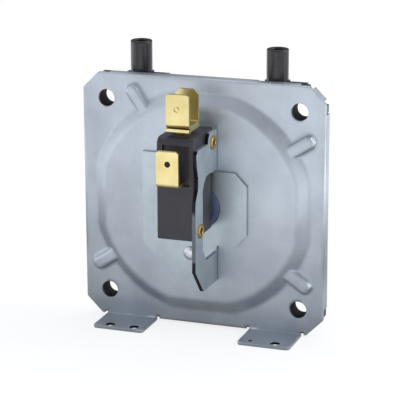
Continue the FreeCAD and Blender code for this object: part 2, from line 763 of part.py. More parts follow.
def bracket_base(body):
    right = V.blade_x + V.sheet_metal
    sketch = front_sketch(body, "bracket_base", -V.panel_rise - V.sheet_metal)
    outline(sketch, [
        (right, V.base_top), (-3.6, V.base_top), (-11.7, V.base_top - 8.1),
        (-V.base_left, V.base_top - 8.1), (-V.base_left, -V.base_low + 9.2),
        (-V.base_left + 8.8, -V.base_low), (right, -V.base_low), (right, -V.tongue_z),
        (V.tongue_x - 3.4, -V.tongue_z), (V.tongue_x, -V.tongue_z + 3.6),
        (V.tongue_x, V.tongue_z - 3.6), (V.tongue_x - 3.4, V.tongue_z),
        (right, V.tongue_z)])
    circle(sketch, 0.0, 0.0, V.bracket_hole_r)
    for z in (V.rivet_z, -V.rivet_z):
        circle(sketch, -V.rivet_x, z, V.rivet_r + V.running_gap)
    return pad(body, sketch, V.sheet_metal, backward=True)


def bracket_blade(body):
    root = -V.panel_rise
    tip = -V.case_front
    sketch = side_sketch(body, "bracket_blade", V.blade_x)
    outline(sketch, [
        (root, V.base_top - 0.1), (tip + 10.5, V.base_top - 0.1), (tip + 9.4, V.base_top - 1.5),
        (tip + 9.2, V.base_top - 2.8), (tip + 1.1, V.base_top - 2.8), (tip, V.base_top - 3.7),
        (tip + 0.3, 15.7), (tip + 1.4, 12.3), (tip + 1.2, 9.2), (tip - 0.6, 6.5),
        (tip - 0.9, 5.0), (tip - 1.1, -13.2), (-15.0, -V.base_low + 0.3), (root, -V.base_low),
        (root, -12.3), (-12.5, -12.2), (-15.2, -8.6), (-15.3, 7.9), (-14.2, 9.9),
        (-12.5, 11.4), (-10.0, 11.6), (root, 10.9)])
    circle(sketch, -V.eyelet_ay, V.eyelet_az, V.eyelet_hole_r)
    circle(sketch, -V.eyelet_by, -V.eyelet_bz, V.eyelet_hole_r)
    return pad(body, sketch, V.sheet_metal)


def bracket():
    body = new_body("bracket")
    bracket_base(body)
    feature = bracket_blade(body)
    soft = [(V.case_front.number - 0.3, 15.7), (V.case_front.number - 1.4, 12.3),
            (V.case_front.number - 1.2, 9.2), (V.case_front.number + 0.6, 6.5),
            (15.3, 7.9), (14.2, 9.9), (12.5, 11.4)]

    def wavy(edge, middle):
        if not along(edge, (1, 0, 0)):
            return False
        return any(abs(-middle.y - y) < 0.05 and abs(middle.z - z) < 0.05 for y, z in soft)

    feature = rounded(body, feature, edges_where(feature, wavy), 1.2)
    outer = V.blade_x + V.sheet_metal

    def bend(edge, middle):
        return along(edge, (0, 0, 1)) and near(middle.x, outer) and near(middle.y, -V.panel_rise)

    rounded(body, feature, edges_where(feature, bend), 0.9)
    return body


def bracket_rivets():
    body = new_body("bracket_rivets", several=True)
    front = -V.panel_rise - V.sheet_metal
    back = V.metal - V.panel_rise
    for name, z in (("low", -V.rivet_z), ("high", V.rivet_z)):
        sketch = level_sketch(body, "bracket_rivet_" + name, z, -V.rivet_x)
        outline(sketch, [
            (0.0, front - 0.75), (V.rivet_head_r - 1.0, front - 0.7), (V.rivet_head_r - 0.2, front - 0.35),
            (V.rivet_head_r, front), (V.rivet_r, front), (V.rivet_r, back),
            (V.rivet_head_r, back), (V.rivet_head_r - 0.2, back + 0.6), (0.0, back + 0.6)])
        turned(body, sketch)
    return body


# Snap switch: case, cover, button, contacts and terminals

def case_points():
    return [(-V.case_front, -V.case_low), (-V.case_back, -V.case_low), (-V.case_back, V.step_z),
            (-V.case_back_top, V.step_z), (-V.case_back_top, V.case_top),
            (-V.case_front, V.case_top)]


def eyelet_circles(sketch, radius):
    circle(sketch, -V.eyelet_ay, V.eyelet_az, radius)
    circle(sketch, -V.eyelet_by, -V.eyelet_bz, radius)


def round_case_edges(body, feature):
    def top_front(edge, middle):
        return (along(edge, (1, 0, 0)) and near(middle.y, -V.case_front)
                and near(middle.z, V.case_top))

    return rounded(body, feature, edges_where(feature, top_front), V.case_round)


def switch_case():
    body = new_body("switch_case")
    left = -V.case_left
    wall = V.case_wall
    shell = side_sketch(body, "case_shell", left)
    outline(shell, case_points())
    feature = pad(body, shell, V.case_split + V.case_left)
    feature = round_case_edges(body, feature)

    def left_edges(edge, middle):
        return near(middle.x, left)

    rounded(body, feature, edges_where(feature, left_edges), 0.35)
    cavity = side_sketch(body, "case_cavity", V.case_split)
    box_outline(cavity, -V.case_front + wall, -V.case_back - wall + 0.1, -V.case_low + wall,
                V.case_top - wall)
    pocket(body, cavity, V.case_split + V.case_left - wall)
    posts = side_sketch(body, "case_posts", left + wall - 0.2)
    eyelet_circles(posts, V.post_r)
    pad(body, posts, V.case_split + V.case_left - wall + 0.2)
    holes = side_sketch(body, "case_holes", V.case_split)
    eyelet_circles(holes, V.eyelet_hole_r)
    pocket(body, holes, V.case_split + V.case_left + 1.0)
    slot_low = V.tab_z - V.running_gap
    slot_high = V.tab_z + V.brass + V.running_gap
    box_pocket(body, "output_slot", -V.tab_left - 0.05, -V.tab_left + V.tab_width + 0.05,
               slot_low, slot_high, -V.case_front - 0.5, -V.case_front + wall + 0.1)
    half = V.brass / 2 + V.running_gap
    stem = level_sketch(body, "stem_slot", V.case_top + 0.5)
    box_outline(stem, -2.0 - V.running_gap, V.running_gap + 2.0, -V.stem_y - half, -V.stem_y + half)
    pocket(body, stem, wall + 0.6)
    box_pocket(body, "button_hole", -V.button_x - V.running_gap, V.button_x + V.running_gap,
               -V.button_z - V.running_gap, V.button_z + V.running_gap,
               -V.case_back - wall, -V.case_back + 0.5)
    box_pocket(body, "front_panel", -V.case_left + 1.6, V.panel_x, V.panel_z_low, V.panel_z_high,
               -V.case_front - 0.5, -V.case_front + V.panel_sink)
    return body


def switch_cover():
    body = new_body("switch_cover")
    shell = side_sketch(body, "cover_shell", V.case_split)
    outline(shell, case_points())
    eyelet_circles(shell, V.eyelet_hole_r)
    feature = pad(body, shell, V.blade_x - V.case_split)
    round_case_edges(body, feature)
    return body


def switch_button():
    body = new_body("switch_button")
    inside = -V.case_back - V.case_wall + 0.1
    box_pad(body, "button_flange", -V.button_x - 0.6, V.button_x + 0.6, -V.button_z - 0.6,
            V.button_z + 0.6, inside - 0.8, inside - V.running_gap)
    feature = box_pad(body, "button_shaft", -V.button_x, V.button_x, -V.button_z, V.button_z,
                      -V.button_end, -V.button_tip)

    def tip(edge, middle):
        return near(middle.y, -V.button_tip)

    rounded(body, feature, edges_where(feature, tip), 0.3)
    return body


def contact_blade():
    body = new_body("contact_blade")
    sketch = front_sketch(body, "lever", -V.lever_y - V.lever)
    box_outline(sketch, -V.strip_x, V.strip_x, -V.lever_low, V.lever_top)
    circle(sketch, 0.0, V.contact_z, V.contact_shank_r + V.running_gap)
    feature = pad(body, sketch, V.lever, backward=True)

    def corners(edge, middle):
        return along(edge, (0, 1, 0)) and middle.z < 0

    rounded(body, feature, edges_where(feature, corners), 0.8)
    return body


def contact_body(label, face, front, back, tail):
    """A contact rivet at contact height: head at face, shank from front to back, then a tail."""
    body = new_body(label)
    sketch = level_sketch(body, label + "_profile", V.contact_z)
    bevel = (as_size(front) - as_size(face)) * 0.4
    shank = V.contact_shank_r
    outline(sketch, [(0.0, face), (V.contact_r - 0.3, face), (V.contact_r, face + bevel),
                     (V.contact_r, front), (shank, front), (shank, back), (0.95, back),
                     (0.7, tail), (0.0, tail)])
    turned(body, sketch)
    return body


def moving_contact():
    front = -V.lever_y - V.lever
    return contact_body("moving_contact", moving_face(), front, -V.lever_y, -V.lever_y + 0.25)


def moving_face():
    """The fixed contact's face, less the gap."""
    return V.contact_gap - V.strip_y + V.contact_high


def fixed_contact():
    back = -V.strip_y - V.brass
    return contact_body("fixed_contact", V.contact_high - V.strip_y, -V.strip_y, back, back - 0.3)


def bend_edges(feature, places):
    """Edges along X at the given (y, z) places."""
    def at(edge, middle):
        if not along(edge, (1, 0, 0)):
            return False
        return any(near(middle.y, y) and near(middle.z, z) for y, z in places)

    return edges_where(feature, at)


def output_terminal():
    body = new_body("output_terminal")
    low, high = V.tab_z, V.tab_z + V.brass
    outer = -V.tab_y
    tab = side_sketch(body, "output_tab", -V.tab_left)
    outline(tab, [(outer, low), (-V.case_front + 2.4, low), (-V.case_front + 2.4, high),
                  (outer + V.brass, high), (outer + V.brass, V.tab_top), (outer, V.tab_top)])
    feature = pad(body, tab, V.tab_width)
    feature = rounded(body, feature, bend_edges(feature, [(outer, low)]), V.brass * 1.4)
    feature = rounded(body, feature, bend_edges(feature, [(outer + V.brass, high)]), V.brass * 0.5)

    def tip(edge, middle):
        return along(edge, (0, 1, 0)) and near(middle.z, V.tab_top)

    feature = rounded(body, feature, edges_where(feature, tip), 0.7, "Chamfer")

    def tip_face(edge, middle):
        return along(edge, (1, 0, 0)) and near(middle.z, V.tab_top)

    feature = rounded(body, feature, edges_where(feature, tip_face), 0.25, "Chamfer")
    strip = side_sketch(body, "output_strip", -V.strip_x)
    back = -V.strip_y - V.brass
    outline(strip, [(-V.case_front + 2.0, low), (back, low), (back, 3.0), (-V.strip_y, 3.0),
                    (-V.strip_y, high), (-V.case_front + 2.0, high)])
    pad(body, strip, V.strip_x * 2)
    holes = front_sketch(body, "output_holes", outer - 0.5)
    circle(holes, -V.tab_hole_x, V.tab_hole_z, V.tab_hole_r)
    pocket(body, holes, V.brass + 1.0)
    shank = front_sketch(body, "contact_hole", back - 0.5)
    circle(shank, 0.0, V.contact_z, V.contact_shank_r + V.running_gap)
    pocket(body, shank, V.brass + 1.0)
    return body


def common_terminal():
    body = new_body("common_terminal")
    half = V.brass / 2
    shelf = side_sketch(body, "shelf", -V.fork_left)
    box_outline(shelf, -V.fork_front, -V.fork_back, V.shelf_z, V.shelf_z + V.brass)
    pad(body, shelf, V.fork_width)
    low, high = V.case_top - 2.3, V.case_top - 1.5
    seat = -V.lever_y - V.lever - V.running_gap
    front = seat - 1.8
    strip = side_sketch(body, "common_strip", -2.0)
    outline(strip, [(-V.stem_y - half, V.shelf_z + 0.2), (-V.stem_y - half, low), (front, low),
                    (front, V.lever_top - 0.9), (seat, V.lever_top - 0.9), (seat, V.lever_top - 0.1),
                    (front + V.brass, V.lever_top - 0.1), (front + V.brass, high),
                    (-V.stem_y + half, high), (-V.stem_y + half, V.shelf_z + 0.2)])
    pad(body, strip, 4.0)
    hole = level_sketch(body, "shelf_hole", V.shelf_z + 2.0)
    circle(hole, -V.fork_left + V.fork_width / 2, -V.fork_rivet_y, 0.65)
    pocket(body, hole, 2.5)
    return body


def double_tab():
    """The fork with two tabs, riveted to the shelf of the common terminal."""
    body = new_body("double_tab")
    low = V.shelf_z + V.brass
    front, back = -V.fork_front, -V.fork_back
    fork = side_sketch(body, "fork", -V.fork_left)
    outline(fork, [(front, low), (back, low), (back, V.fork_back_top), (back - V.brass, V.fork_back_top),
                   (back - V.brass, low + V.brass), (front + V.brass, low + V.brass),
                   (front + V.brass, V.fork_front_top), (front, V.fork_front_top)])
    feature = pad(body, fork, V.fork_width)
    feature = rounded(body, feature, bend_edges(feature, [(front, low), (back, low)]), V.brass * 1.7)
    feature = rounded(body, feature, bend_edges(feature, [(front + V.brass, low + V.brass),
                                                          (back - V.brass, low + V.brass)]), V.brass * 0.8)

    def front_tip(edge, middle):
        in_front = near(middle.y, front + V.brass / 2)
        return along(edge, (0, 1, 0)) and near(middle.z, V.fork_front_top) and in_front

    feature = rounded(body, feature, edges_where(feature, front_tip), 0.9)

    def back_tip(edge, middle):
        behind = near(middle.y, back - V.brass / 2)
        return along(edge, (0, 1, 0)) and near(middle.z, V.fork_back_top) and behind

    rounded(body, feature, edges_where(feature, back_tip), 1.3, "Chamfer")
    middle_x = -V.fork_left + V.fork_width / 2
    dimple = front_sketch(body, "dimple", front - 0.5)
    circle(dimple, middle_x - 0.2, V.dimple_z, 0.85)
    circle(dimple, middle_x - 0.2, V.dimple_z, 0.5)
    pocket(body, dimple, 0.8)
    hole = front_sketch(body, "back_tab_hole", back - V.brass - 0.5)
    circle(hole, middle_x, V.dimple_z + 0.4, V.tab_hole_r)
    pocket(body, hole, V.brass + 1.0)
    drill = level_sketch(body, "fork_hole", low + 2.0)
    circle(drill, middle_x, -V.fork_rivet_y, 0.65)
    pocket(body, drill, 2.5)
    return body


def terminal_rivet():
    body = new_body("terminal_rivet")
    low, high = V.shelf_z, V.shelf_z + V.brass * 2
    sketch = sketch_on(body, "XZ_Plane", "terminal_rivet_profile", V.fork_rivet_y,
                       -V.fork_left + V.fork_width / 2)
    outline(sketch, [(0.0, low - 0.5), (0.85, low - 0.5), (1.05, low), (0.6, low), (0.6, high),
                     (0.95, high), (0.75, high + 0.4), (0.0, high + 0.5)])
    turned(body, sketch)
    return body


def switch_rivets():
    """Two tubular rivets through the blade and the switch."""
    body = new_body("switch_rivets", several=True)
    left = -V.case_left
    right = V.blade_x + V.sheet_metal
    shank = side_sketch(body, "eyelet_shanks", left - 0.1)
    eyelet_circles(shank, V.eyelet_hole_r - V.running_gap)
    pad(body, shank, right - left + 0.2)
    for name, start in (("left", left - V.eyelet_head), ("right", right)):
        head = side_sketch(body, "eyelet_heads_" + name, start)
        eyelet_circles(head, V.eyelet_head_r)
        feature = pad(body, head, V.eyelet_head)

    def outer_rims(edge, middle):
        face = near(middle.x, right + V.eyelet_head) or near(middle.x, left - V.eyelet_head)
        return face and edge.Curve.Radius > 1.5

    rounded(body, feature, edges_where(feature, outer_rims), 0.3)
    bore = side_sketch(body, "eyelet_bores", right + 1.0)
    eyelet_circles(bore, V.eyelet_bore_r)
    feature = pocket(body, bore, right - left + 2.0)

    def mouths(edge, middle):
        face = near(middle.x, right + V.eyelet_head) or near(middle.x, left - V.eyelet_head)
        return face and edge.Curve.Radius < 1.0

    rounded(body, feature, edges_where(feature, mouths), 0.25)
    return body


def check(thing):
    for state in thing.State:
        if state in ("Invalid", "Error"):
            raise RuntimeError(thing.Label + " has state " + state)


def write_parts():
    makers = (front_cover, body_frame, back_cover, diaphragm, front_plate, rear_plate, push_pin,
              guide_bush, bush_ring, pin_seal, range_spring, bracket, bracket_rivets,
              switch_case, switch_cover, switch_button, contact_blade, moving_contact,
              fixed_contact, output_terminal, common_terminal, double_tab, terminal_rivet,
              switch_rivets)
    pieces = [maker() for maker in makers]
    doc.recompute()
    for thing in doc.Objects:
        check(thing)
    os.makedirs("parts", exist_ok=True)
    for piece in pieces:
        shape = piece.Shape
        if shape.isNull() or not shape.isValid():
            raise RuntimeError(piece.Label + " has no valid shape")
        shape.exportStep("parts/" + piece.Label + ".step")
        print(piece.Label, len(shape.Solids), "solid, volume", round(shape.Volume, 1))


make_sheet()
write_parts()
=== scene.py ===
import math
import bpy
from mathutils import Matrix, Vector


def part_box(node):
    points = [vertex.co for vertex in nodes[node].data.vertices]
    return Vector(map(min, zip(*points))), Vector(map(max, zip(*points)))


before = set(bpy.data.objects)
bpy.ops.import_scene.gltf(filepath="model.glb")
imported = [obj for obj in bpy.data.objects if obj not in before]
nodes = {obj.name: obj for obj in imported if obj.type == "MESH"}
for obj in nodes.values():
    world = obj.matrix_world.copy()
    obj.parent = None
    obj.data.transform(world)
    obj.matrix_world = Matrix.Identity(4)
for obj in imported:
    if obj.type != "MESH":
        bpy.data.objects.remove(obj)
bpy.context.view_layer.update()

# %% [markdown]
# An air pressure switch: a square box pressed from zinc-plated steel sheet, with a rubber
# diaphragm inside. Air comes in through two black hose nipples, the diaphragm pushes a pin, and
# the pin works a small black snap switch that stands on a folded bracket.
# The solids are already here, in metres. This file gives every one of them the surface that the
# real piece has, adds the soft forms of the pressed sheet, and lights and frames the whole.

# %% Tools and the size of the object
from types import SimpleNamespace

import bpy
import mathutils
import numpy as np

MM = 0.001

# %% [markdown]
# Colours are easiest to write as the six-digit codes of a paint program, but a renderer adds up
# light, so it needs linear values. One function turns the first into the second. A material is a
# graph of small nodes, and a second function adds one node with its settings and its links, so
# that each finish below reads like a recipe.

# %% Colour and node helpers
# A Mix node keeps separate sockets for numbers, vectors and colours, known by their places.
NUMBER_A, NUMBER_B, NUMBER_OUT = 2, 3, 0
VECTOR_A, VECTOR_B, VECTOR_OUT = 4, 5, 1
COLOUR_A, COLOUR_B, COLOUR_OUT = 6, 7, 2


def paint(code):
    """Six-digit sRGB code to linear red, green, blue and alpha, by the sRGB curve."""
    channels = np.array([int(code[k:k + 2], 16) for k in (1, 3, 5)]) / 255.0
    linear = np.where(channels <= 0.04045, channels / 12.92, ((channels + 0.055) / 1.055) ** 2.4)
    return (*linear.tolist(), 1.0)


def add(tree, kind, settings=None, links=None):
    """Adds one shader node, sets its properties and sockets, and links its inputs."""
    node = tree.nodes.new("ShaderNode" + kind)
    for name, value in (settings or {}).items():
        if isinstance(name, str) and hasattr(node, name):
            setattr(node, name, value)
        else:
            node.inputs[name].default_value = value
    for name, socket in (links or {}).items():
        tree.links.new(socket, node.inputs[name])
    return node


def combined(tree, operation, shares):
    """Folds several shares into one: MULTIPLY where all must hold, MAXIMUM where any may."""
    total = shares[0]
    for share in shares[1:]:
        total = add(tree, "Math", {"operation": operation}, {0: total, 1: share}).outputs[0]
    return total


def new_material(name):
    """An empty node material and its tree."""
    material = bpy.data.materials.new(name)
    material.use_nodes = True
    material.node_tree.nodes.clear()
    return material, material.node_tree


def per_mm(size):
    """Texture scale at which one feature is about size millimetres across."""
    return 1.0 / (size * MM)


print("mid grey #808080 is", round(paint("#808080")[0], 3), "in linear light")

# %% [markdown]
# Most finishes here share one plan. A soft cloudy noise and a finer noise together pick the
# colour between a dark and a light tone. The fine noise alone, stretched along the lines that
# rolling or turning left, sets the roughness and a very shallow bump. Pictures could do this too,
# but noise has no seams and keeps its size in millimetres on every piece. Only the numbers differ
# from finish to finish, so the plan is one function.

# %% A surface with clouds and grain
METAL, PLASTIC = 1.0, 0.0
CLOUDS = {"Detail": 4.0, "Roughness": 0.55}
GRAIN = {"Detail": 3.0, "Roughness": 0.6}
GRAIN_SHARE = 0.35
# Noise stays near its middle value, so tone and gloss reach their ends well inside 0 to 1.
TONE_ENDS = (0.34, 0.66)
GRAIN_ENDS = (0.3, 0.7)
RELIEF_SHARE = 0.6
# A texture scale under 1 along an axis draws the grain out into lines along it.
EVEN = (1.0, 1.0, 1.0)
UPRIGHT_LINES = (1.0, 1.0, 0.03)
STRIP_LINES = (1.0, 1.0, 0.05)
BAR_LINES = (1.0, 0.1, 1.0)


def grained(name, dark, light, cloud_mm, grain_mm, lines, metallic, rough, relief_mm):
    """Colour from clouds and grain mixed, roughness and bump from the grain alone."""
    material, tree = new_material(name)
    place = add(tree, "TexCoord").outputs["Object"]
    clouds = add(tree, "TexNoise", {"Scale": per_mm(cloud_mm), **CLOUDS}, {"Vector": place})
    drawn_out = add(tree, "Mapping", {"Scale": lines}, {"Vector": place})
    grain = add(tree, "TexNoise", {"Scale": per_mm(grain_mm), **GRAIN},
                {"Vector": drawn_out.outputs["Vector"]})
    blend = add(tree, "Mix", {"data_type": "FLOAT", "Factor": GRAIN_SHARE},
                {NUMBER_A: clouds.outputs["Fac"], NUMBER_B: grain.outputs["Fac"]})
    tone = add(tree, "ValToRGB", None, {"Fac": blend.outputs[NUMBER_OUT]})
    for stop, end, code in zip(tone.color_ramp.elements, TONE_ENDS, (dark, light)):
        stop.position = end
        stop.color = paint(code)
    gloss = add(tree, "MapRange", {"From Min": GRAIN_ENDS[0], "From Max": GRAIN_ENDS[1],
                                   "To Min": rough[0], "To Max": rough[1]},
                {"Value": grain.outputs["Fac"]})
    relief = add(tree, "Bump", {"Strength": RELIEF_SHARE, "Distance": relief_mm * MM},
                 {"Height": grain.outputs["Fac"]})
    shader = add(tree, "BsdfPrincipled", {"Metallic": metallic},
                 {"Base Color": tone.outputs["Color"], "Roughness": gloss.outputs["Result"],
                  "Normal": relief.outputs["Normal"]})
    add(tree, "OutputMaterial", None, {"Surface": shader.outputs["BSDF"]})
    print("finish", name)
    return SimpleNamespace(material=material, tree=tree, place=place, shader=shader, relief=relief)


# %% [markdown]
# Cover, back and bracket are cold-rolled steel sheet, plated with zinc before it was punched and
# pressed. The plating gives the eye a soft, slightly blue metal without sparkle, with clouds about
# a fingertip wide, and rolling leaves very fine lines, here upright. Those lines lie under a tenth
# of a millimetre apart, too fine to show, so they are drawn at a quarter of a millimetre. The
# bracket's strip is rolled a little smoother than the cover's sheet.

# %% Zinc-plated sheet
zinc_sheet = grained("zinc_plated_sheet", "#A8AFB7", "#C1C8CF", cloud_mm=14.0, grain_mm=0.25,
                     lines=UPRIGHT_LINES, metallic=METAL, rough=(0.47, 0.56), relief_mm=0.002)
bracket_sheet = grained("zinc_plated_bracket", "#A8B1B7", "#BFC8CD", cloud_mm=9.0, grain_mm=0.25,
                        lines=UPRIGHT_LINES, metallic=METAL, rough=(0.42, 0.52), relief_mm=0.002)

# %% [markdown]
# The round panel's outline is four arcs and four flats. On the real sheet they flow into each
# other, but in a render a smooth metal shows every joint between them as a facet. The solid has
# the right size, so only the shading turns: on the shoulder, the slope is pointed straight away
# from the middle. This and the holes need the distance from a straight line, so that comes first.

# %% Directions of the shoulder
IN_PLATE = (1.0, 0.0, 1.0)
OUT_OF_PLATE = (0.0, 1.0, 0.0)
MIDDLE = (0.0, 0.0, 0.0)
# Cosines between a slope and the outward direction: a rib's slope is below the first.
RIB_BELOW, SHOULDER_ABOVE = 0.84, 0.94
# Real slopes shine a little flatter than the solid's, so their part in the plate shrinks.
GENTLER = (0.9, 1.0, 0.9)


def distance_from_line(finish, point, keep):
    """Distance from the straight line through point along the axis that keep sets to zero."""
    flat = add(finish.tree, "VectorMath", {"operation": "MULTIPLY", 1: keep}, {0: finish.place})
    away = add(finish.tree, "VectorMath", {"operation": "DISTANCE", 1: point}, {0: flat.outputs[0]})
    return away.outputs["Value"]


def swept_round(finish, normal, panel):
    """Where panel is 1, a slope that heads nearly outward heads exactly outward, as steep as it
    was: outward times its length in the plate, plus its part out of the plate."""
    tree = finish.tree
    across = add(tree, "VectorMath", {"operation": "MULTIPLY", 1: IN_PLATE}, {0: finish.place})
    outward = add(tree, "VectorMath", {"operation": "NORMALIZE"}, {0: across.outputs[0]})
    slope = add(tree, "VectorMath", {"operation": "MULTIPLY", 1: IN_PLATE}, {0: normal})
    front = add(tree, "VectorMath", {"operation": "MULTIPLY", 1: OUT_OF_PLATE}, {0: normal})
    steepness = add(tree, "VectorMath", {"operation": "LENGTH"}, {0: slope.outputs[0]})
    heading = add(tree, "VectorMath", {"operation": "NORMALIZE"}, {0: slope.outputs[0]})
    alike = add(tree, "VectorMath", {"operation": "DOT_PRODUCT"},
                {0: heading.outputs[0], 1: outward.outputs[0]})
    shoulder = add(tree, "MapRange", {"From Min": RIB_BELOW, "From Max": SHOULDER_ABOVE},
                   {"Value": alike.outputs["Value"]})
    radial = add(tree, "VectorMath", {"operation": "SCALE"},
                 {0: outward.outputs[0], "Scale": steepness.outputs["Value"]})
    swept = add(tree, "VectorMath", {"operation": "ADD"}, {0: radial.outputs[0], 1: front.outputs[0]})
    mixed = add(tree, "Mix", {"data_type": "VECTOR"},
                {"Factor": combined(tree, "MULTIPLY", [shoulder.outputs["Result"], panel]),
                 VECTOR_A: normal, VECTOR_B: swept.outputs[0]})
    gentle = add(tree, "VectorMath", {"operation": "MULTIPLY", 1: GENTLER},
                 {0: mixed.outputs[VECTOR_OUT]})
    return add(tree, "VectorMath", {"operation": "NORMALIZE"}, {0: gentle.outputs[0]}).outputs[0]


print("ribs keep slopes more than", round(math.degrees(math.acos(RIB_BELOW))), "degrees off outward")

# %% [markdown]
# A pressed sheet is never quite sharp or flat. Where panel and ribs rise, the press leaves large
# soft radii, and toward its folds the rim falls away, here by about half a millimetre. A Bevel
# node averages the directions of the faces around a point, so it rounds the shading by any
# radius, and a Bump node bends the rim with a height that drops with the square of the distance.
# Both leave the solid's size alone.

# %% Soft forms of the pressed cover
PRESSED_FROM, PRESSED_TO = 26.0 * MM, 39.0 * MM
PRESS_RADIUS, EDGE_RADIUS = 1.4 * MM, 0.22 * MM
BEVEL_SAMPLES = 12
FALL_START = 29.0 * MM
# Drop in metres for each square metre past the start.
FALL = 12.0
# No point is a metre in front of the plate, so only X and Z make the rim fall.
FALL_FROM = (FALL_START, 1.0, FALL_START)


def press_soft(finish):
    """Rounds the shading where panel and ribs rise, and bends it outward near the folds."""
    tree = finish.tree
    radius = distance_from_line(finish, MIDDLE, IN_PLATE)
    past_panel = add(tree, "MapRange", {"From Min": PRESSED_FROM, "From Max": PRESSED_FROM + MM},
                     {"Value": radius}).outputs["Result"]
    before_corner = add(tree, "MapRange", {"From Min": PRESSED_TO, "From Max": PRESSED_TO - MM},
                        {"Value": radius}).outputs["Result"]
    ring = combined(tree, "MULTIPLY", [past_panel, before_corner])
    width = add(tree, "MapRange", {"To Min": EDGE_RADIUS, "To Max": PRESS_RADIUS}, {"Value": ring})
    rounded = add(tree, "Bevel", {"samples": BEVEL_SAMPLES}, {"Radius": width.outputs["Result"]})
    away = add(tree, "VectorMath", {"operation": "ABSOLUTE"}, {0: finish.place})
    over = add(tree, "VectorMath", {"operation": "SUBTRACT", 1: FALL_FROM}, {0: away.outputs[0]})
    past = add(tree, "VectorMath", {"operation": "MAXIMUM", 1: (0.0, 0.0, 0.0)}, {0: over.outputs[0]})
    square = add(tree, "VectorMath", {"operation": "DOT_PRODUCT"},
                 {0: past.outputs[0], 1: past.outputs[0]})
    drop = add(tree, "Math", {"operation": "MULTIPLY", 1: -FALL}, {0: square.outputs["Value"]})
    bend = add(tree, "Bump", {"Strength": 1.0, "Distance": 1.0},
               {"Height": drop.outputs[0],
                "Normal": swept_round(finish, rounded.outputs["Normal"], past_panel)})
    tree.links.new(bend.outputs["Normal"], finish.relief.inputs["Normal"])


press_soft(zinc_sheet)
print("press radius in mm", PRESS_RADIUS / MM)

# %% [markdown]
# The holes were punched after plating, so their walls are raw, dull steel that looks darker. In the
# feet the walls are painted near black, darker than bare steel, as painted shade inside the holes.
# The walls belong to the cover's one mesh, which stays as it came, so the colour changes wherever the
# distance from a hole's centre line is small enough. In the feet, which lie flat, the centre lines
# stand upright, and the cover's other parts above them are left out by their height.

# %% Raw walls of the punched holes, with painted shade in the feet
SHEET = 0.8 * MM
FLOOR_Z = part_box("front_cover")[0][2]
IN_FOOT = (1.0, 1.0, 0.0)
FOOT_HOLE_Y = -9.1 * MM
FOOT_HOLES = [(x * MM, FOOT_HOLE_Y, 0.0) for x in (-24.3, -17.1, 17.1, 24.3)]
FOOT_HOLE_REACH = 1.39 * MM
SCREW_HOLES = [(x * MM, 0.0, z * MM) for x in (-28.0, 28.0) for z in (-28.0, 28.0)]
SCREW_HOLE_REACH = 2.43 * MM
# The foot's own top face lies just above the part of the wall that is painted.
TOP_FACE_CLEAR = 0.03 * MM


def near_holes(finish, holes, keep, reach):
    """1 within reach of any of the holes' centre lines, else 0."""
    walls = []
    for hole in holes:
        away = distance_from_line(finish, hole, keep)
        wall = add(finish.tree, "Math", {"operation": "LESS_THAN", 1: reach}, {0: away})
        walls.append(wall.outputs[0])
    return combined(finish.tree, "MAXIMUM", walls)


def paint_over(finish, share, code):
    """Lays a colour over the finish where share is 1."""
    under = finish.shader.inputs["Base Color"].links[0].from_socket
    both = add(finish.tree, "Mix", {"data_type": "RGBA", COLOUR_B: paint(code)},
               {"Factor": share, COLOUR_A: under})
    finish.tree.links.new(both.outputs[COLOUR_OUT], finish.shader.inputs["Base Color"])


cover_place = add(zinc_sheet.tree, "SeparateXYZ", None, {"Vector": zinc_sheet.place})
in_feet = add(zinc_sheet.tree, "Math", {"operation": "LESS_THAN", 1: FLOOR_Z + SHEET - TOP_FACE_CLEAR},
              {0: cover_place.outputs["Z"]}).outputs[0]
foot_wall_raw_and_shade = near_holes(zinc_sheet, FOOT_HOLES, IN_FOOT, FOOT_HOLE_REACH)
# Near black in the foot holes: raw steel, darkened further as painted shade.
paint_over(zinc_sheet, combined(zinc_sheet.tree, "MULTIPLY", [foot_wall_raw_and_shade, in_feet]), "#2E3236")
paint_over(zinc_sheet, near_holes(zinc_sheet, SCREW_HOLES, IN_PLATE, SCREW_HOLE_REACH), "#565A62")
print("holes with raw walls", len(FOOT_HOLES) + len(SCREW_HOLES))

# %% [markdown]
# The bracket's blade stands on edge toward the viewer, and that edge is sheared steel without
# plating. The colour painted there is partly that bare steel and partly painted shade: darkest at
# the top, beside the case, and at the slanted foot, and a little lighter between. The edge is found
# by where its faces point and how far it stands in front of the bracket's base, which needs no
# marks on the mesh.

# %% Sheared edge of the blade, with painted shade
FACES_FRONT = -0.6
BASE_DEPTH = 2.5 * MM
TOP_DARK, FOOT_DARK, DARK_BLEND = 2.2 * MM, -9.0 * MM, 1.6 * MM
BETWEEN_SHARE = 0.78


def sheared_edge_and_shade(finish, base, code):
    """Darkens faces that point forward and stand well in front of the base: bare steel and painted shade.
    """
    tree = finish.tree
    place = add(tree, "SeparateXYZ", None, {"Vector": finish.place})
    points = add(tree, "SeparateXYZ", None,
                 {"Vector": add(tree, "NewGeometry").outputs["True Normal"]})
    forward = add(tree, "Math", {"operation": "LESS_THAN", 1: FACES_FRONT}, {0: points.outputs["Y"]})
    standing = add(tree, "Math", {"operation": "LESS_THAN", 1: base - BASE_DEPTH},
                   {0: place.outputs["Y"]})
    top = add(tree, "MapRange", {"From Min": TOP_DARK, "From Max": TOP_DARK + DARK_BLEND,
                                 "To Min": BETWEEN_SHARE}, {"Value": place.outputs["Z"]})
    foot = add(tree, "MapRange", {"From Min": FOOT_DARK, "From Max": FOOT_DARK - DARK_BLEND},
               {"Value": place.outputs["Z"]})
    dark = combined(tree, "MAXIMUM", [top.outputs["Result"], foot.outputs["Result"]])
    paint_over(finish, combined(tree, "MULTIPLY", [forward.outputs[0], standing.outputs[0], dark]), code)


# The blade's edge colour is partly bare steel and partly painted shade.
sheared_edge_and_shade(bracket_sheet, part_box("bracket")[1][1], "#26282E")
print("blade edge lighter between", FOOT_DARK / MM, "and", TOP_DARK / MM, "mm")

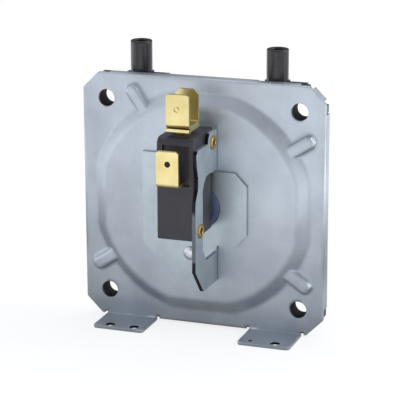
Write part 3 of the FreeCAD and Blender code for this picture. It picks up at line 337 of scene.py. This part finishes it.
# %% [markdown]
# The frame with the nipples is moulded polyamide, black and with a soft gloss that shows as pale
# bands along the nipples. Moulds leave a fine sand-like skin without direction, so the grain
# isn't drawn out into lines. It is drawn at a third of a millimetre, several times its real size,
# to show at all. The pins that form the four screw bores leave them matt, and without that their
# walls would mirror the bright surroundings.

# %% Black moulded frame
BORE_REACH = 2.6 * MM
BORE_ROUGHER = 0.5
NYLON_SPECULAR = 0.4
nylon_black = grained("moulded_nylon_black", "#161518", "#212023", cloud_mm=6.0, grain_mm=0.35,
                      lines=EVEN, metallic=PLASTIC, rough=(0.26, 0.36), relief_mm=0.003)
nylon_black.shader.inputs["Specular IOR Level"].default_value = NYLON_SPECULAR
# Roughness in the bores is the skin's own plus the pins' share.
nylon_gloss = nylon_black.shader.inputs["Roughness"].links[0].from_socket
matt_bores = add(nylon_black.tree, "Math", {"operation": "MULTIPLY_ADD", 1: BORE_ROUGHER},
                 {0: near_holes(nylon_black, SCREW_HOLES, IN_PLATE, BORE_REACH), 2: nylon_gloss})
nylon_black.tree.links.new(matt_bores.outputs[0], nylon_black.shader.inputs["Roughness"])
print("matt bores", len(SCREW_HOLES))

# %% [markdown]
# The other plastics and the rubber are told apart by tone and gloss. The switch's case is moulded
# from a hard phenolic resin, which looks greyer and duller than the frame. The bush is blue
# polyamide with a faint gloss. The pin is turned from a drawn acetal bar, white and waxy, with
# fine lines along it. The button is a red moulding with a soft gloss, and silicone rubber is dull
# and nearly black. Again the grain is as coarse as it needs to be to show.

# %% Other plastics and rubber
case_black = grained("moulded_phenolic_black", "#222127", "#2E2C34", cloud_mm=5.0, grain_mm=0.3,
                     lines=EVEN, metallic=PLASTIC, rough=(0.42, 0.56), relief_mm=0.008)
nylon_blue = grained("moulded_nylon_blue", "#4C5C7C", "#617292", cloud_mm=4.0, grain_mm=0.35,
                     lines=EVEN, metallic=PLASTIC, rough=(0.34, 0.46), relief_mm=0.004)
acetal_white = grained("turned_acetal_white", "#D9D8D0", "#ECEBE4", cloud_mm=3.0, grain_mm=0.3,
                       lines=BAR_LINES, metallic=PLASTIC, rough=(0.3, 0.4), relief_mm=0.003)
button_red = grained("moulded_button_red", "#8E1512", "#AE201B", cloud_mm=2.0, grain_mm=0.3,
                     lines=EVEN, metallic=PLASTIC, rough=(0.3, 0.4), relief_mm=0.003)
rubber_black = grained("silicone_rubber_black", "#1D1D1E", "#2A2A2B", cloud_mm=4.0, grain_mm=0.4,
                       lines=EVEN, metallic=PLASTIC, rough=(0.62, 0.75), relief_mm=0.01)

# %% [markdown]
# The terminals are stamped from rolled brass strip, bright and pale yellow, with upright rolling
# lines. The tubular rivets are drawn brass that has gone duller and browner. The contact blade is
# springy reddish beryllium copper, the contacts are white silver, and the bracket's rivets bright
# steel. Spring and ring are grey drawn wire, and the diaphragm's plates pale turned aluminium
# with fine lines along the bar. Metals keep the default index of refraction, so only tone and
# roughness set them apart, and all lines are again coarser than real ones.

# %% Brass, silver and the other metals
brass_strip = grained("rolled_brass_strip", "#BDAD76", "#D0C390", cloud_mm=6.0, grain_mm=0.2,
                      lines=STRIP_LINES, metallic=METAL, rough=(0.3, 0.35), relief_mm=0.0006)
brass_dull = grained("drawn_brass_dull", "#9A7B3C", "#C4A562", cloud_mm=1.5, grain_mm=0.2,
                     lines=EVEN, metallic=METAL, rough=(0.32, 0.46), relief_mm=0.004)
copper_strip = grained("rolled_beryllium_copper", "#B87B4A", "#D69C66", cloud_mm=3.0, grain_mm=0.2,
                       lines=STRIP_LINES, metallic=METAL, rough=(0.25, 0.35), relief_mm=0.003)
silver = grained("contact_silver", "#C9C9CC", "#E2E2E4", cloud_mm=1.0, grain_mm=0.2,
                 lines=EVEN, metallic=METAL, rough=(0.22, 0.32), relief_mm=0.002)
steel_bright = grained("bright_rivet_steel", "#B4B7BE", "#D2D4DA", cloud_mm=1.5, grain_mm=0.25,
                       lines=EVEN, metallic=METAL, rough=(0.3, 0.42), relief_mm=0.004)
spring_wire = grained("drawn_spring_wire", "#8F9298", "#B4B7BC", cloud_mm=2.0, grain_mm=0.2,
                      lines=EVEN, metallic=METAL, rough=(0.25, 0.35), relief_mm=0.003)
aluminium = grained("turned_aluminium", "#B8BABD", "#D2D4D6", cloud_mm=6.0, grain_mm=0.25,
                    lines=BAR_LINES, metallic=METAL, rough=(0.28, 0.38), relief_mm=0.003)

# %% [markdown]
# Each solid gets its finish through its material slot. The dictionary below is the parts list
# of the object, so it also shows at a glance which pieces are cut from the same material.

# %% Finishes on the solids
FINISH = {
    "front_cover": zinc_sheet, "back_cover": zinc_sheet, "bracket": bracket_sheet,
    "body_frame": nylon_black, "switch_case": case_black, "switch_cover": case_black,
    "guide_bush": nylon_blue, "push_pin": acetal_white, "switch_button": button_red,
    "diaphragm": rubber_black, "pin_seal": rubber_black, "front_plate": aluminium,
    "rear_plate": aluminium, "bush_ring": spring_wire, "range_spring": spring_wire,
    "bracket_rivets": steel_bright, "contact_blade": copper_strip, "moving_contact": silver,
    "fixed_contact": silver, "output_terminal": brass_strip, "common_terminal": brass_strip,
    "double_tab": brass_strip, "terminal_rivet": brass_strip, "switch_rivets": brass_dull,
}
for name, finish in FINISH.items():
    nodes[name].data.materials[0] = finish.material
print("finished solids", len(FINISH), "of", len(nodes))

# %% [markdown]
# The floor is one large pale plane under the feet. A real photographer would hang a paper sweep.
# A flat plane that the camera sees close to white looks the same, and it still takes the
# object's soft shadow.

# %% Floor
FLOOR_REACH = 12.0
corners = [(x * FLOOR_REACH, y * FLOOR_REACH, FLOOR_Z) for x, y in ((-1, -1), (1, -1), (1, 1), (-1, 1))]
floor_mesh = bpy.data.meshes.new("floor")
floor_mesh.from_pydata(corners, [], [(0, 1, 2, 3)])
floor = bpy.data.objects.new("floor", floor_mesh)
bpy.context.scene.collection.objects.link(floor)
floor_material, floor_tree = new_material("pale_floor")
floor_mesh.materials.append(floor_material)
print("floor at", round(FLOOR_Z / MM, 2), "mm")

# %% [markdown]
# A plain metal plate shows what it mirrors, so a photographer lays reflectors before it. Seen
# from the camera, the plate mirrors the floor in front of it: its top mirrors far floor and its
# foot near floor. Reflections, and only they, see a pool of light there. It grows with the
# distance from the plate, fades far away, is dimmer at the left, the right and behind, and is
# brighter again farther out to both sides, which lights the plate in views from the side.

# %% Pool of light on the floor, for reflections
floor_place = add(floor_tree, "TexCoord").outputs["Object"]
spot = add(floor_tree, "SeparateXYZ", None, {"Vector": floor_place})
depth = add(floor_tree, "Math", {"operation": "ABSOLUTE"}, {0: spot.outputs["Y"]})
away = add(floor_tree, "VectorMath", {"operation": "LENGTH"}, {0: floor_place})
# For each share: what it follows, where it starts and ends in metres, and its two values there.
POOL = {
    "ahead": (depth.outputs[0], 0.01, 0.25, 0.0, 1.0),
    "left": (spot.outputs["X"], -0.14, -0.05, 0.15, 1.0),
    "right": (spot.outputs["X"], 0.08, -0.03, 0.72, 1.0),
    "far_left": (spot.outputs["X"], -0.19, -0.26, 0.0, 1.0),
    "far_right": (spot.outputs["X"], 0.07, 0.15, 0.0, 0.5),
    "fade": (away.outputs["Value"], 0.42, 0.75, 1.0, 0.3),
    "behind": (spot.outputs["Y"], 0.0, 0.06, 1.0, 0.6),
}
POOL_DARKEST, POOL_BRIGHTEST = 0.42, 3.45
share = {}
for name, (followed, start, end, first, last) in POOL.items():
    ramp = add(floor_tree, "MapRange",
               {"From Min": start, "From Max": end, "To Min": first, "To Max": last},
               {"Value": followed})
    share[name] = ramp.outputs["Result"]
near = combined(floor_tree, "MULTIPLY", [share["ahead"], share["left"], share["right"]])
lit = combined(floor_tree, "MAXIMUM", [near, share["far_left"], share["far_right"]])
pool = add(floor_tree, "MapRange", {"To Min": POOL_DARKEST, "To Max": POOL_BRIGHTEST},
           {"Value": combined(floor_tree, "MULTIPLY", [lit, share["fade"], share["behind"]])})
print("pool shares", len(share))

# %% [markdown]
# Three kinds of ray see three floors. The camera sees mostly an even white, mixed with a matt
# grey that takes the shadow. Reflections see the pool. All other rays see the matt floor alone,
# so that the light it throws back on the object is true.

# %% What each kind of ray sees of the floor
CAMERA_WHITE, WHITE_GLOW = 0.72, 1.08
ray = add(floor_tree, "LightPath")
white_share = add(floor_tree, "Math", {"operation": "MULTIPLY", 1: CAMERA_WHITE},
                  {0: ray.outputs["Is Camera Ray"]})
matt = add(floor_tree, "BsdfDiffuse", {"Color": paint("#EDEEF0")})
white = add(floor_tree, "Emission", {"Color": paint("#FFFFFF"), "Strength": WHITE_GLOW})
pool_light = add(floor_tree, "Emission", {"Color": paint("#F4F6FA")},
                 {"Strength": pool.outputs["Result"]})
direct = add(floor_tree, "MixShader", None,
             {0: white_share.outputs[0], 1: matt.outputs[0], 2: white.outputs[0]})
floor_look = add(floor_tree, "MixShader", None,
                 {0: ray.outputs["Is Glossy Ray"], 1: direct.outputs[0], 2: pool_light.outputs[0]})
add(floor_tree, "OutputMaterial", None, {"Surface": floor_look.outputs[0]})
print("camera sees the floor", round(100 * CAMERA_WHITE), "percent white")

# %% [markdown]
# A studio for metal is a tent: pale cloth all round, brighter where lamps stand behind it. The
# surround does the same without any cloth. Its colour goes from grey to near white as the
# direction turns toward one of four glows, at the sides, overhead and in front, and its strength
# rises toward the sides.

# %% Surround
world = bpy.data.worlds.new("studio")
bpy.context.scene.world = world
world.use_nodes = True
surround = world.node_tree
surround.nodes.clear()
direction = add(surround, "TexCoord").outputs["Generated"]
# Direction of each glow, the cosines at which it starts and is full, its share there, and
# whether the opposite side glows too.
GLOWS = {
    "sides": ((0.94, 0.34, 0.0), 0.25, 0.85, 1.0, True),
    "above": ((0.0, 0.0, 1.0), 0.62, 1.0, 0.85, True),
    "front": ((-0.1, -0.96, 0.25), 0.74, 0.96, 1.0, False),
    "right_front": ((0.55, -0.75, 0.37), 0.78, 0.97, 0.75, False),
}
DIM_STRENGTH, SIDE_STRENGTH = 0.9, 1.45


def glow(heading, start, full, top, both_ways):
    """0 to top as the direction turns toward heading, by the cosine of the angle between."""
    along = add(surround, "VectorMath", {"operation": "DOT_PRODUCT", 1: heading}, {0: direction})
    turn = along.outputs["Value"]
    if both_ways:
        turn = add(surround, "Math", {"operation": "ABSOLUTE"}, {0: turn}).outputs[0]
    rise = add(surround, "MapRange", {"interpolation_type": "SMOOTHSTEP", "From Min": start,
                                      "From Max": full, "To Max": top}, {"Value": turn})
    return rise.outputs["Result"]


glows = {name: glow(*row) for name, row in GLOWS.items()}
tone = add(surround, "Mix", {"data_type": "RGBA", COLOUR_A: paint("#767A82"), COLOUR_B: paint("#F4F6FC")},
           {"Factor": combined(surround, "MAXIMUM", list(glows.values()))})
power = add(surround, "MapRange", {"To Min": DIM_STRENGTH, "To Max": SIDE_STRENGTH},
            {"Value": glows["sides"]})
sky = add(surround, "Background", None,
          {"Color": tone.outputs[COLOUR_OUT], "Strength": power.outputs["Result"]})
add(surround, "OutputWorld", None, {"Surface": sky.outputs[0]})
print("glows", ", ".join(glows))

# %% [markdown]
# Two lamps give the tent its direction: a large one high behind the object lights its top edges
# and lays the shadow forward, and an upright strip at the right lights the folded edge. Lamps and
# camera both look along their own minus Z axis, so one function stands either of them by the
# three directions of its axes.

# %% Lamps
UPWARD = (0.0, 0.0, 1.0)


def stand(thing, right, up, back, place):
    """Puts a lamp or camera at place, looking away from back, with its own right and up."""
    axes = np.eye(4)
    axes[:3] = np.column_stack((right, up, back, place))
    thing.matrix_world = mathutils.Matrix(axes.tolist())
    bpy.context.scene.collection.objects.link(thing)


def lamp(name, azimuth, elevation, distance, width, height, watts):
    """A flat lamp that looks at the origin. Azimuth 0 is straight in front, 180 behind."""
    a, e = math.radians(azimuth), math.radians(elevation)
    back = np.array([-math.sin(a) * math.cos(e), -math.cos(a) * math.cos(e), math.sin(e)])
    right = np.cross(UPWARD, back)
    right = right / np.linalg.norm(right)
    light = bpy.data.lights.new(name, "AREA")
    light.shape = "RECTANGLE"
    light.size = width
    light.size_y = height
    light.energy = watts
    stand(bpy.data.objects.new(name, light), right, np.cross(back, right), back, back * distance)
    print("lamp", name, watts, "W")


lamp("overhead", azimuth=165.0, elevation=62.0, distance=0.8, width=0.7, height=0.6, watts=1.5)
lamp("strip_right", azimuth=-98.0, elevation=18.0, distance=0.7, width=0.14, height=0.5, watts=2.0)

# %% [markdown]
# The camera stands where the photograph's did. Its angles, distance and lens were worked out
# from the square plate, its holes and its feet, so that the render lies over the photograph.
# A long lens from half a metre away keeps the plate's sides nearly parallel, as they are there.

# %% Camera
AZIMUTH, ELEVATION, ROLL = math.radians(19.766), math.radians(15.807), math.radians(-0.254)
LENS, DISTANCE, SENSOR = 167.09, 514.14 * MM, 36.0
SIDE, RISE = -0.5568 * MM, 0.9531 * MM
NEAREST, FARTHEST = 0.01, 50.0
right = np.array([math.cos(AZIMUTH), math.sin(AZIMUTH), 0.0])
back = np.array([math.sin(AZIMUTH) * math.cos(ELEVATION), -math.cos(AZIMUTH) * math.cos(ELEVATION),
                 math.sin(ELEVATION)])
up = np.cross(back, right)
place = right * SIDE + up * RISE + back * DISTANCE
rolled_right = right * math.cos(ROLL) + up * math.sin(ROLL)
rolled_up = up * math.cos(ROLL) - right * math.sin(ROLL)
eye = bpy.data.cameras.new("camera")
eye.lens = LENS
eye.sensor_width = SENSOR
eye.clip_start = NEAREST
eye.clip_end = FARTHEST
camera = bpy.data.objects.new("camera", eye)
stand(camera, rolled_right, rolled_up, back, place)
bpy.context.scene.camera = camera
bpy.context.scene.view_settings.view_transform = "Standard"
print("camera at", [round(float(v), 4) for v in place])
